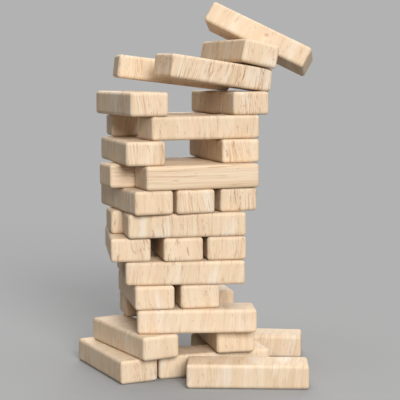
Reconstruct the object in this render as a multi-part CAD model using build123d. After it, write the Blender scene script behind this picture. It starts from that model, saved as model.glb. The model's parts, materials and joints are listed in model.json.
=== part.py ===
"""Giant tumbling tower: a half-played stack of loose wooden blocks.

Millimetres, +Z up. The players stand on the -Y side. The origin is on the ground, in the
middle of the footprint of all the blocks. Each block is one node, and every block is the same.
"""
from build123d import *
import os

# The block: 7.5 x 2.5 x 1.5 inch, planed, with every edge rounded over
LENGTH = 190.5
WIDTH = 63.5
THICKNESS = 38.0
EDGE_RADIUS = 5.0

# Flat courses lie this far apart, so that no block binds on the one below
REST_GAP = 0.1
COURSE_PITCH = THICKNESS + REST_GAP

# The two ways that a course's blocks lie: the direction of their length, in degrees from +X
ACROSS = 0
AWAY = 90

# Flat courses, from the ground up. A block is: x and y of its centre, and its twist in degrees
COURSES = {
    1: (ACROSS, {"front": (22, -54, 18), "rear": (88, 76, -6)}),
    2: (AWAY, {"left": (-101, -53, 30), "right": (43, 3, 13)}),
    3: (ACROSS, {"front": (0, -88, 4), "rear": (-34, 64, 14)}),
    4: (AWAY, {"left": (-84, -29, 12), "middle": (-11, -14, 11)}),
    5: (ACROSS, {"front": (-19, -79, 5), "rear": (-38, 46, 10)}),
    6: (AWAY, {"left": (-114, -27, 7), "middle": (-36, -19, 10), "right": (33, -4, 10)}),
    7: (ACROSS, {"front": (-19, -80, 12), "middle": (-50, -20, 12), "rear": (-32, 51, 12)}),
    8: (AWAY, {"left": (-98, -46, 21), "middle": (-33, -25, 21), "right": (35, 9, 21)}),
    9: (ACROSS, {"front": (2, -78, 21), "middle": (-58, -31, 21), "rear": (-37, 48, 21)}),
    10: (AWAY, {"left": (-104, -41, 16.5), "right": (45, 31, 17)}),
    11: (ACROSS, {"front": (5, -42, 25), "rear": (-56, 80, 13)}),
    12: (AWAY, {"left": (-106, -25, 21.5), "right": (55, 56, 22)}),
}

# Blocks on the ground beside course 1: lie, then x, y and twist as above
GROUND_BLOCKS = {
    "base_left": (AWAY, (-131, -48, 26.5)),
    "loose_front": (ACROSS, (81, -140, -2)),
}

# Blocks that have begun to fall: lie, centre x, y and z, twist, dip and roll in degrees.
# Dip lowers the far end of the block's length; roll turns the block about its length.
TIPPING_BLOCKS = {
    "course_13_front": (ACROSS, (28.5, -23, 487.3), (30, 7.5, 1)),
    "course_13_rear": (ACROSS, (-41.5, 44, 487.3), (11.5, 7, 0)),
    "course_14_block": (AWAY, (71, 64.5, 518.2), (21.5, 0, 11.5)),
    "top_block": (ACROSS, (108, 98, 544.7), (-16, 25.5, -18)),
}


def make_block():
    """One block, centred on the origin, its length along X."""
    blank = Box(LENGTH, WIDTH, THICKNESS)
    return fillet(blank.edges(), EDGE_RADIUS)


def place(block, centre, twist, dip=0.0, roll=0.0):
    """Roll the block about its length, dip its far end, twist it about Z, then move it."""
    return Pos(*centre) * Rot(Z=twist) * Rot(Y=dip) * Rot(X=roll) * block


def lay_flat(block, lie, spot, course):
    """Lay the block flat in a course counted from 1 at the ground."""
    x, y, twist = spot
    z = (course - 1) * COURSE_PITCH + THICKNESS / 2
    return place(block, (x, y, z), lie + twist)


def build_tower():
    """Every block of the stack, by node name."""
    block = make_block()
    tower = {}
    for course, (lie, spots) in COURSES.items():
        for slot, spot in spots.items():
            tower[f"course_{course:02d}_{slot}"] = lay_flat(block, lie, spot, course)
    for name, (lie, spot) in GROUND_BLOCKS.items():
        tower[name] = lay_flat(block, lie, spot, 1)
    for name, (lie, centre, (twist, dip, roll)) in TIPPING_BLOCKS.items():
        tower[name] = place(block, centre, lie + twist, dip, roll)
    return tower


def footprint_centre(tower):
    """The middle of the whole stack's footprint, as x and y."""
    boxes = [block.bounding_box() for block in tower.values()]
    x = (min(box.min.X for box in boxes) + max(box.max.X for box in boxes)) / 2
    y = (min(box.min.Y for box in boxes) + max(box.max.Y for box in boxes)) / 2
    return x, y


def centre_tower(tower):
    """Move the stack so that its footprint is centred on the origin."""
    x, y = footprint_centre(tower)
    return {name: Pos(-x, -y, 0) * block for name, block in tower.items()}


os.makedirs("parts", exist_ok=True)
for name, solid in centre_tower(build_tower()).items():
    export_step(solid, f"parts/{name}.step")
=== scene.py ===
"""Looks for the giant tumbling tower: pale pine blocks on a seamless grey studio floor.

Each CAD block is replaced by a detailed one of the same size, in the same place, on the same
body. Metres, except where a name ends in _MM. Lengths within a block run along its own axes:
X along its length, Y across its width, Z through its thickness.
"""

import json
import math
import random

import bmesh
import bpy
from mathutils import Matrix, Vector
from mathutils import noise as solid_noise

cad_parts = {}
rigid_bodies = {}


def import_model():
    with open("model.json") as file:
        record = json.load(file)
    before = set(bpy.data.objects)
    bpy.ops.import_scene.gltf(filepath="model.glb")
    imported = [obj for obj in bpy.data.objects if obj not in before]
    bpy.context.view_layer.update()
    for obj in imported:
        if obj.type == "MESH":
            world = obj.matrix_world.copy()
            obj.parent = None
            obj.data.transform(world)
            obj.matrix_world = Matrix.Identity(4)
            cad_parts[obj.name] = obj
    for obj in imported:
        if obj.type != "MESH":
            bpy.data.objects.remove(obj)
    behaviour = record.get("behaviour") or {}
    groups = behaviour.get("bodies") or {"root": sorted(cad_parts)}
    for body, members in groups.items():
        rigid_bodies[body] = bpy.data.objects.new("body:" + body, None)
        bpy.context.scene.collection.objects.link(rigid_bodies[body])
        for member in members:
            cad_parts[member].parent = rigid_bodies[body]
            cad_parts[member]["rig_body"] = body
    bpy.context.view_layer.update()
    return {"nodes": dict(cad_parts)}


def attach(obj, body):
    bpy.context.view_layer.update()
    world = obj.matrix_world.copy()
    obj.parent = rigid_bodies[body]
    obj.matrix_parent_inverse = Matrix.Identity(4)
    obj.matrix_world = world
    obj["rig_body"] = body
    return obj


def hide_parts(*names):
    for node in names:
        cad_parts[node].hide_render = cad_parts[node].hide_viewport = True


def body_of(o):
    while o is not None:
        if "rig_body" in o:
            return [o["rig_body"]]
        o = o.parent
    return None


MM = 0.001

# The block's shape
HALF_MM = (95.25, 31.75, 19.0)
EDGE_RADIUS_MM = 5.0
EDGE_SOFTER_MM = 0.9        # how much rounder than the nominal radius an edge may be
EDGE_WAVE_MM = 30.0         # how far apart an edge's rounder places are
FLAT_SAG_MM = 0.12          # how far a planed face may lie under its nominal plane
FLAT_WAVE_MM = 38.0         # how far apart a face's lower places are
FLAT_SEED = Vector((7.1, 3.3, 1.9))

# Dents on the long edges. A spread is the least and the greatest share of the value above it.
DENTS_PER_BLOCK = 5
DENT_REACH_MM = 4.5
DENT_REACH_SPREAD = (0.7, 1.3)
DENT_DEPTH_MM = 0.45
DENT_DEPTH_SPREAD = (0.4, 1.0)
DENT_INSET_MM = 1.5         # how far a dent's middle lies inside the block's nominal edge
DENT_SPAN = 0.95            # the share of the block's length that dents may be on

# The block's mesh
FLAT_STEPS = (34, 11, 6)    # cells along the flat part of each axis
BEND_STEPS = 3              # cells in each half of a rounded edge
SUPPORT_MM = 0.8            # width of the narrow cell that keeps a face's shading flat
CORNER_COS = 0.577          # the greatest part of the normal in the middle of a corner

# Which blocks have which grain
GRAIN_LENGTHWISE = {"course_09_front", "course_09_middle", "course_09_rear"}
SMOOTH_BLOCK = "top_block"
LIVELY_COURSES = ("course_08", "course_10", "course_11", "course_12", "course_13", "course_14")
TOP_KNOT_MM = (15.0, -31.5, 5.0)
LEAN = (-0.04, 0.16)        # how far streaks lean sideways, for each step along them
END_STRETCH = (1.4, 0.5)    # pattern steps across and along, on the end of a lengthwise block
SIDE_STRETCH = (0.4, 0.3)   # the same along and across its long faces
SEED_REACH = 50             # how far apart the blocks' edge patterns start
GRAIN_REACH_MM = 400        # how far apart the blocks' grain patterns start


def block_axes(node):
    """The block's place as a 4x4 matrix, from the flat faces of its CAD solid."""
    faces = sorted(node.data.polygons, key=lambda face: face.area, reverse=True)
    up = faces[0].normal.copy()
    if up.z < 0:
        up.negate()
    side = next(f.normal.copy() for f in faces if abs(f.normal.dot(up)) < 0.1)
    along = side.cross(up).normalized()
    if along.x < 0:
        along.negate()
    side = up.cross(along)
    corners = [v.co for v in node.data.vertices]
    centre = Vector()
    for axis in (along, side, up):
        reach = [axis.dot(c) for c in corners]
        centre += axis * (min(reach) + max(reach)) / 2
    turn = Matrix((along, side, up)).transposed().to_4x4()
    return Matrix.Translation(centre) @ turn


def stops(half_mm, flat_steps):
    """Grid stops along one axis, from face to face: (share of the flat half, slope of bend)."""
    slopes = [math.tan(math.radians(45 * k / BEND_STEPS)) for k in range(1, BEND_STEPS + 1)]
    support = SUPPORT_MM / (half_mm - EDGE_RADIUS_MM)
    inner = [(1 - support) * (2 * k / flat_steps - 1) for k in range(flat_steps + 1)]
    flat = [(t, 0.0) for t in [-1.0, *inner, 1.0]]
    return [(-1.0, -s) for s in reversed(slopes)] + flat + [(1.0, s) for s in slopes]


def worn(point, normal, dents):
    """The point, in millimetres, moved inwards by the face's sag and by any dent near it."""
    sag = 0.5 + 0.5 * solid_noise.noise(point / FLAT_WAVE_MM + FLAT_SEED)
    depth = FLAT_SAG_MM * sag
    for place, reach, deep in dents:
        near = (point - place).length / reach
        if near < 1:
            depth += deep * (1 - near * near) ** 2
    return point - normal * depth


def edge_dents(rng):
    """A few small dents on the block's long edges: (place, reach, depth) in millimetres."""
    dents = []
    for _ in range(DENTS_PER_BLOCK):
        x = rng.uniform(-DENT_SPAN, DENT_SPAN) * HALF_MM[0]
        y = rng.choice((-1, 1)) * (HALF_MM[1] - DENT_INSET_MM)
        z = rng.choice((-1, 1)) * (HALF_MM[2] - DENT_INSET_MM)
        reach = DENT_REACH_MM * rng.uniform(*DENT_REACH_SPREAD)
        depth = DENT_DEPTH_MM * rng.uniform(*DENT_DEPTH_SPREAD)
        dents.append((Vector((x, y, z)), reach, depth))
    return dents


def surface_point(grid, ijk, seed, dents):
    """Where a grid point lies on the rounded block, with its rim value (1 mid-edge)."""
    share = [grid[a][ijk[a]][0] for a in range(3)]
    slope = Vector([grid[a][ijk[a]][1] for a in range(3)])
    normal = slope.normalized()
    nominal = Vector([share[a] * HALF_MM[a] for a in range(3)])
    softer = 0.5 + 0.5 * solid_noise.noise(nominal / EDGE_WAVE_MM + seed)
    radius = EDGE_RADIUS_MM + EDGE_SOFTER_MM * softer
    core = Vector([share[a] * (HALF_MM[a] - radius) for a in range(3)])
    rim = 1.0 - (max(abs(c) for c in normal) - CORNER_COS) / (1.0 - CORNER_COS)
    return worn(core + normal * radius, normal, dents), rim


def grid_faces(counts):
    """The quads of each side of the block: (side axis, four ijk corners)."""
    for axis in range(3):
        u, v = (axis + 1) % 3, (axis + 2) % 3
        for end in (0, counts[axis]):
            for i in range(counts[u]):
                for j in range(counts[v]):
                    quad = []
                    for du, dv in ((0, 0), (1, 0), (1, 1), (0, 1)):
                        ijk = [0, 0, 0]
                        ijk[axis], ijk[u], ijk[v] = end, i + du, j + dv
                        quad.append(tuple(ijk))
                    yield axis, quad if end else quad[::-1]


def grain_coordinates(point, axis, lengthwise, lean, offset):
    """Pattern coordinates in millimetres: X across the streaks, Y and Z along them."""
    x, y, z = point
    if lengthwise and axis == 0:
        made = Vector((y * END_STRETCH[0], z * END_STRETCH[1], x))
    elif lengthwise:
        across, under = (z, y) if axis == 1 else (y, z)
        made = Vector((across, x * SIDE_STRETCH[0], under * SIDE_STRETCH[1]))
    elif axis == 0:
        made = Vector((y + lean * z, x, z))
    else:
        made = Vector((x - lean * (y + z), y, z))
    return made + offset


def block_surface(seed, dents):
    """The block's points in millimetres, their rim values, its quads and each quad's side axis."""
    grid = [stops(HALF_MM[a], FLAT_STEPS[a]) for a in range(3)]
    index, points, rims, quads, sides = {}, [], [], [], []
    for axis, quad in grid_faces([len(g) - 1 for g in grid]):
        for ijk in quad:
            if ijk not in index:
                index[ijk] = len(points)
                point, rim = surface_point(grid, ijk, seed, dents)
                points.append(point)
                rims.append(rim)
        quads.append([index[ijk] for ijk in quad])
        sides.append(axis)
    return points, rims, quads, sides


def block_mesh(name, rng):
    """A rounded, slightly worn block centred on the origin, with its pattern attributes."""
    seed = Vector([rng.uniform(-SEED_REACH, SEED_REACH) for _ in range(3)])
    points, rims, quads, sides = block_surface(seed, edge_dents(rng))
    mesh = bpy.data.meshes.new(name)
    mesh.from_pydata([p * MM for p in points], [], quads)
    mesh.shade_smooth()
    offset = Vector([rng.uniform(-GRAIN_REACH_MM, GRAIN_REACH_MM) for _ in range(3)])
    lean = rng.uniform(*LEAN)
    lengthwise = name.removesuffix("_wood") in GRAIN_LENGTHWISE
    grain = mesh.attributes.new("grain", "FLOAT_VECTOR", "CORNER")
    for face, axis in zip(mesh.polygons, sides):
        for loop in face.loop_indices:
            point = points[mesh.loops[loop].vertex_index]
            grain.data[loop].vector = grain_coordinates(point, axis, lengthwise, lean, offset)
    mesh.attributes.new("rim", "FLOAT", "POINT").data.foreach_set("value", rims)
    own = mesh.attributes.new("own", "FLOAT_VECTOR", "POINT")
    own.data.foreach_set("vector", [c for point in points for c in point])
    for kind in ("tone", "figure"):
        value = mesh.attributes.new(kind, "FLOAT", "POINT")
        value.data.foreach_set("value", [rng.uniform(0, 1)] * len(points))
    return mesh


class Graph:
    """A material's nodes, with one short call for each kind used here."""

    def __init__(self, name):
        self.material = bpy.data.materials.new(name)
        self.material.use_nodes = True
        self.nodes = self.material.node_tree.nodes
        self.links = self.material.node_tree.links
        self.shader = self.nodes["Principled BSDF"]

    def plug(self, value, socket):
        """Links an output to the socket, or sets the socket's own value."""
        if isinstance(value, bpy.types.NodeSocket):
            self.links.new(value, socket)
        else:
            socket.default_value = value

    def attribute(self, name, output="Fac"):
        node = self.nodes.new("ShaderNodeAttribute")
        node.attribute_name = name
        return node.outputs[output]

    def maths(self, operation, a, b):
        node = self.nodes.new("ShaderNodeMath")
        node.operation = operation
        self.plug(a, node.inputs[0])
        self.plug(b, node.inputs[1])
        return node.outputs[0]

    def vector(self, operation, a, b, output="Vector"):
        node = self.nodes.new("ShaderNodeVectorMath")
        node.operation = operation
        self.plug(a, node.inputs[0])
        self.plug(b, node.inputs[1])
        return node.outputs[output]

    def combine(self, x=0.0, y=0.0, z=0.0):
        node = self.nodes.new("ShaderNodeCombineXYZ")
        for socket, value in zip(node.inputs, (x, y, z)):
            self.plug(value, socket)
        return node.outputs[0]

    def noise(self, place, size_mm, detail=2.0, roughness=0.5):
        """Noise whose features are about size_mm = (across, along, along) large."""
        node = self.nodes.new("ShaderNodeTexNoise")
        scaled = self.vector("MULTIPLY", place, tuple(1 / s for s in size_mm))
        self.plug(scaled, node.inputs["Vector"])
        node.inputs["Scale"].default_value = 1.0
        node.inputs["Detail"].default_value = detail
        node.inputs["Roughness"].default_value = roughness
        return node.outputs[0]

    def fade(self, value, low, high, to_low=0.0, to_high=1.0):
        """Smoothly from to_low where value is low, to to_high where it is high."""
        node = self.nodes.new("ShaderNodeMapRange")
        node.interpolation_type = "SMOOTHSTEP"
        for socket, given in zip(node.inputs, (value, low, high, to_low, to_high)):
            self.plug(given, socket)
        return node.outputs[0]

    def blend(self, share, first, second, mode="MIX"):
        node = self.nodes.new("ShaderNodeMix")
        node.data_type = "RGBA"
        node.blend_type = mode
        self.plug(share, node.inputs[0])
        self.plug(first, node.inputs[6])
        self.plug(second, node.inputs[7])
        return node.outputs[2]

    def bump(self, height, strength, distance):
        node = self.nodes.new("ShaderNodeBump")
        node.inputs["Strength"].default_value = strength
        node.inputs["Distance"].default_value = distance
        self.plug(height, node.inputs["Height"])
        return node.outputs[0]


def srgb(red, green, blue):
    """A colour given as 0-255 screen values, as linear RGBA."""
    linear = [((c / 255 + 0.055) / 1.055) ** 2.4 for c in (red, green, blue)]
    return (*linear, 1.0)


# Colours of the wood
CREAM = srgb(220, 199, 171)
TAN = srgb(209, 181, 147)
PEACH = srgb(219, 190, 161)
PALE = srgb(224, 212, 196)
RUST = srgb(150, 98, 66)
BROWN = srgb(166, 124, 88)
GRAIN_LINE = srgb(183, 148, 112)
KNOT = srgb(176, 112, 84)

# The noise under each layer of the grain: the size of its features in millimetres (across the
# streaks, then along them twice), detail, roughness, and the values between which it fades in
LAYERS = {
    "bands": ((13, 150, 150), 3.0, 0.5, (0.36, 0.66)),
    "busy": ((24, 90, 90), 1.0, 0.5, (0.42, 0.60)),
    "fine": ((1.6, 75, 75), 2.0, 0.6, (0.48, 0.70)),
    "broken": ((5, 13, 13), 2.0, 0.5, (0.46, 0.62)),
    "where": ((11, 60, 60), 2.0, 0.5, (0.52, 0.60)),
    "dashes": ((1.9, 14, 14), 2.0, 0.6, (0.53, 0.65)),
    "flecks": ((2.4, 8, 8), 1.0, 0.5, (0.72, 0.78)),
    "patches": ((30, 90, 90), 1.0, 0.5, (0.58, 0.72)),
    "warm": ((22, 40, 40), 2.0, 0.5, (0.48, 0.66)),
    "rough": ((3, 18, 18), 2.0, 0.5, (0.3, 0.7)),
}
RING_SIZE_MM = (12, 120, 120)
RING_WIDTH = 0.02           # of a ring's line, in the noise whose middle value it follows
RING_FAINT = 0.15           # what is left of a ring's line where it is broken
DRIFT_SIZE_MM = (70, 48, 48)
DRIFT_MM = 11.0             # how far the grain wanders sideways
FIGURE = (0.35, 1.15)       # streaks of the plainest and of the most figured block
TONE = (0.965, 1.0)         # brightness of the darkest and of the lightest block
KNOT_MM = (1.5, 5.5)        # distances from a knot's middle between which it fades out
KNOT_RAGGED_MM = 1.5
KNOT_SHARE = 0.6
# Painted highlight: the rounded edges are lightened towards PALE, fading in between these rim
# values, by at most RIM_SHARE
RIM_FADE = (0.25, 0.9)
RIM_SHARE = 0.2
ROUGHNESS = (0.56, 0.72)
SPECULAR = 0.3
PORE_SIZE_MM = (0.7, 9, 9)
BUMP_STRENGTH = 0.4
BUMP_DEPTH = 0.0003


def layer(g, name, place, lowest=0.0, highest=1.0):
    """One layer of the grain, which runs from lowest to highest."""
    size_mm, detail, roughness, (low, high) = LAYERS[name]
    return g.fade(g.noise(place, size_mm, detail, roughness), low, high, lowest, highest)


def wandering(g, place):
    """The pattern's place, moved sideways a little as the grain runs."""
    drift = g.maths("SUBTRACT", g.noise(place, DRIFT_SIZE_MM, detail=1.0), 0.5)
    return g.vector("ADD", place, g.combine(g.maths("MULTIPLY", drift, DRIFT_MM)))


def ring_lines(g, wavy, broken):
    """Thin lines that come and go along the edges of the growth rings."""
    away = g.maths("ABSOLUTE", g.maths("SUBTRACT", g.noise(wavy, RING_SIZE_MM), 0.5), 0.0)
    line = g.fade(away, 0.0, RING_WIDTH, 1.0, 0.0)
    return g.maths("MULTIPLY", line, g.maths("ADD", RING_FAINT, broken))


def knot_mark(g, knot_mm, broken):
    """How strongly a small ragged knot shows, from its middle outwards."""
    away = g.vector("DISTANCE", g.attribute("own", "Vector"), knot_mm, "Value")
    ragged = g.maths("ADD", away, g.maths("MULTIPLY", broken, KNOT_RAGGED_MM))
    return g.fade(ragged, *KNOT_MM, KNOT_SHARE, 0.0)


def pine(name, lines=1.0, streaks=1.0, pale=1.0, between=0.12, knot_mm=None):
    """Planed, unvarnished pine. lines, streaks and pale say how strong those layers are, and
    between is the share of the fine lines that is left where the grain is quiet. knot_mm is
    the place of a small knot, along the block's own axes."""
    g = Graph(name)
    place = g.attribute("grain", "Vector")
    wavy = wandering(g, place)
    broken = layer(g, "broken", wavy)
    rings = ring_lines(g, wavy, broken)
    fine = g.maths("MULTIPLY", layer(g, "fine", wavy), layer(g, "busy", place, between))
    figure = g.fade(g.attribute("figure"), 0.0, 1.0, *FIGURE)
    streak = g.maths("MULTIPLY", layer(g, "where", wavy, 0.0, figure), layer(g, "dashes", wavy))

    colour = CREAM
    for mask, share, tint in (
        (layer(g, "bands", wavy), 0.6, TAN),
        (layer(g, "warm", place), 0.5, PEACH),
        (layer(g, "patches", place), 0.6 * pale, PALE),
        (fine, 0.42 * lines, GRAIN_LINE),
        (rings, 0.45 * streaks, RUST),
        (streak, 0.65 * streaks, BROWN),
        (layer(g, "flecks", wavy), 0.6 * streaks, RUST),
    ):
        colour = g.blend(g.maths("MULTIPLY", mask, share), colour, tint)
    if knot_mm:
        colour = g.blend(knot_mark(g, knot_mm, broken), colour, KNOT)
    tone = g.fade(g.attribute("tone"), 0.0, 1.0, *TONE)
    colour = g.blend(1.0, colour, g.combine(tone, tone, tone), "MULTIPLY")
    # Painted highlight: the rounded edges are blended towards PALE, as if they caught the light
    painted_edge_highlight = g.maths("MULTIPLY", g.fade(g.attribute("rim"), *RIM_FADE), RIM_SHARE)
    g.plug(g.blend(painted_edge_highlight, colour, PALE), g.shader.inputs["Base Color"])

    g.plug(layer(g, "rough", place, *ROUGHNESS), g.shader.inputs["Roughness"])
    g.shader.inputs["Specular IOR Level"].default_value = SPECULAR
    sunken = g.maths("ADD", streak, g.maths("ADD", rings, g.maths("MULTIPLY", fine, 0.6)))
    height = g.maths("SUBTRACT", g.noise(wavy, PORE_SIZE_MM, detail=2.0), sunken)
    g.plug(g.bump(height, BUMP_STRENGTH, BUMP_DEPTH), g.shader.inputs["Normal"])
    return g.material


# The studio
GREY = srgb(178, 178, 178)[0]   # radiance of the backdrop, and of the floor where unshaded
BOUNCE = 0.26                   # what the floor sends up to the blocks where unshaded
AMBIENT = 0.235
STUDIO_RADIUS = 25.0
LAMP_DISTANCE = 3.0
# Soft lights: degrees right of the front, degrees up, degrees wide, and what a white face
# turned square to the light would send back
LIGHTS = {
    "key": (15, 24, 28, 1.09),
    "top": (0, 88, 50, 0.40),
    "back": (180, 33, 50, 0.52),
}

# The camera
LENS_MM = 108.3
SENSOR_MM = 36
CAMERA_AT = (0.0056, -1.9869, 0.4863)
CAMERA_DIP = 0.1048             # radians below the level


def sun(name, azimuth, elevation, spread, strength):
    """One soft light, given as in LIGHTS."""
    light = bpy.data.lights.new(name, "SUN")
    light.energy = strength * math.pi
    light.angle = math.radians(spread)
    around, up = math.radians(azimuth), math.radians(elevation)
    out = math.cos(up)
    towards = Vector((math.sin(around) * out, -math.cos(around) * out, math.sin(up)))
    lamp = bpy.data.objects.new(name, light)
    lamp.rotation_mode = "QUATERNION"
    lamp.rotation_quaternion = towards.to_track_quat("Z", "Y")
    lamp.location = towards * LAMP_DISTANCE
    bpy.context.scene.collection.objects.link(lamp)


def studio_lights():
    """An even grey sky and the soft lights, which fall evenly over the whole floor."""
    world = bpy.data.worlds.new("ambient")
    world.use_nodes = True
    background = world.node_tree.nodes["Background"]
    background.inputs["Color"].default_value = (AMBIENT, AMBIENT, AMBIENT, 1.0)
    bpy.context.scene.world = world
    for name, settings in LIGHTS.items():
        sun(name, *settings)


def staged(name, build, material):
    """An object for the studio, with its mesh made by build(bmesh)."""
    mesh = bpy.data.meshes.new(name)
    shape = bmesh.new()
    build(shape)
    shape.to_mesh(mesh)
    shape.free()
    mesh.materials.append(material)
    thing = bpy.data.objects.new(name, mesh)
    bpy.context.scene.collection.objects.link(thing)
    return thing


def studio_floor(name, radiance):
    """A matt floor that sends back this radiance where nothing shades it."""
    falling = sum(power * math.sin(math.radians(up)) for _, up, _, power in LIGHTS.values())
    albedo = radiance / (AMBIENT + falling)
    g = Graph(name)
    g.shader.inputs["Base Color"].default_value = (albedo, albedo, albedo, 1.0)
    g.shader.inputs["Roughness"].default_value = 1.0
    g.shader.inputs["Specular IOR Level"].default_value = 0.0
    floor = staged(name, lambda shape: bmesh.ops.create_circle(
        shape, cap_ends=True, segments=96, radius=STUDIO_RADIUS), g.material)
    floor.visible_shadow = False
    return floor


def studio_backdrop():
    """An even grey dome all round, which neither lights the blocks nor shades them."""
    g = Graph("studio_backdrop")
    g.shader.inputs["Base Color"].default_value = (0.0, 0.0, 0.0, 1.0)
    g.shader.inputs["Specular IOR Level"].default_value = 0.0
    g.shader.inputs["Emission Color"].default_value = (GREY, GREY, GREY, 1.0)
    g.shader.inputs["Emission Strength"].default_value = 1.0
    dome = staged("studio_backdrop", lambda shape: bmesh.ops.create_icosphere(
        shape, subdivisions=5, radius=STUDIO_RADIUS), g.material)
    dome.visible_diffuse = False
    dome.visible_glossy = False
    dome.visible_transmission = False
    dome.visible_shadow = False


def camera():
    """Level with the upper courses, looking a little down."""
    data = bpy.data.cameras.new("camera")
    data.sensor_width = SENSOR_MM
    data.lens = LENS_MM
    eye = bpy.data.objects.new("camera", data)
    eye.location = CAMERA_AT
    eye.rotation_euler = (math.pi / 2 - CAMERA_DIP, 0, 0)
    bpy.context.scene.collection.objects.link(eye)
    bpy.context.scene.camera = eye


def dress(node, material):
    """Stands a detailed block in the place of a CAD block."""
    name = f"{node.name}_wood"
    piece = bpy.data.objects.new(name, block_mesh(name, random.Random(name)))
    piece.matrix_world = block_axes(node)
    bpy.context.scene.collection.objects.link(piece)
    piece.data.materials.append(material)
    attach(piece, body_of(node)[0])
    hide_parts(node.name)


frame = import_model()

quiet = pine("pine_quiet", lines=0.85, streaks=0.85)
lively = pine("pine_lively", lines=2.0, streaks=1.05)
lengthwise = pine("pine_lengthwise", lines=1.6, streaks=0.9, pale=0.3, between=0.8)
smooth = pine("pine_smooth", lines=0.45, streaks=0.6, knot_mm=TOP_KNOT_MM)
for node_name, cad_node in sorted(frame["nodes"].items()):
    if node_name in GRAIN_LENGTHWISE:
        dress(cad_node, lengthwise)
    elif node_name == SMOOTH_BLOCK:
        dress(cad_node, smooth)
    elif node_name.startswith(LIVELY_COURSES):
        dress(cad_node, lively)
    else:
        dress(cad_node, quiet)

studio_lights()
studio_floor("studio_floor", GREY).visible_diffuse = False
bounce = studio_floor("studio_bounce", BOUNCE)
bounce.location.z = -MM
bounce.visible_camera = False
studio_backdrop()
camera()
bpy.context.scene.view_settings.view_transform = "Standard"

bpy.context.view_layer.update()
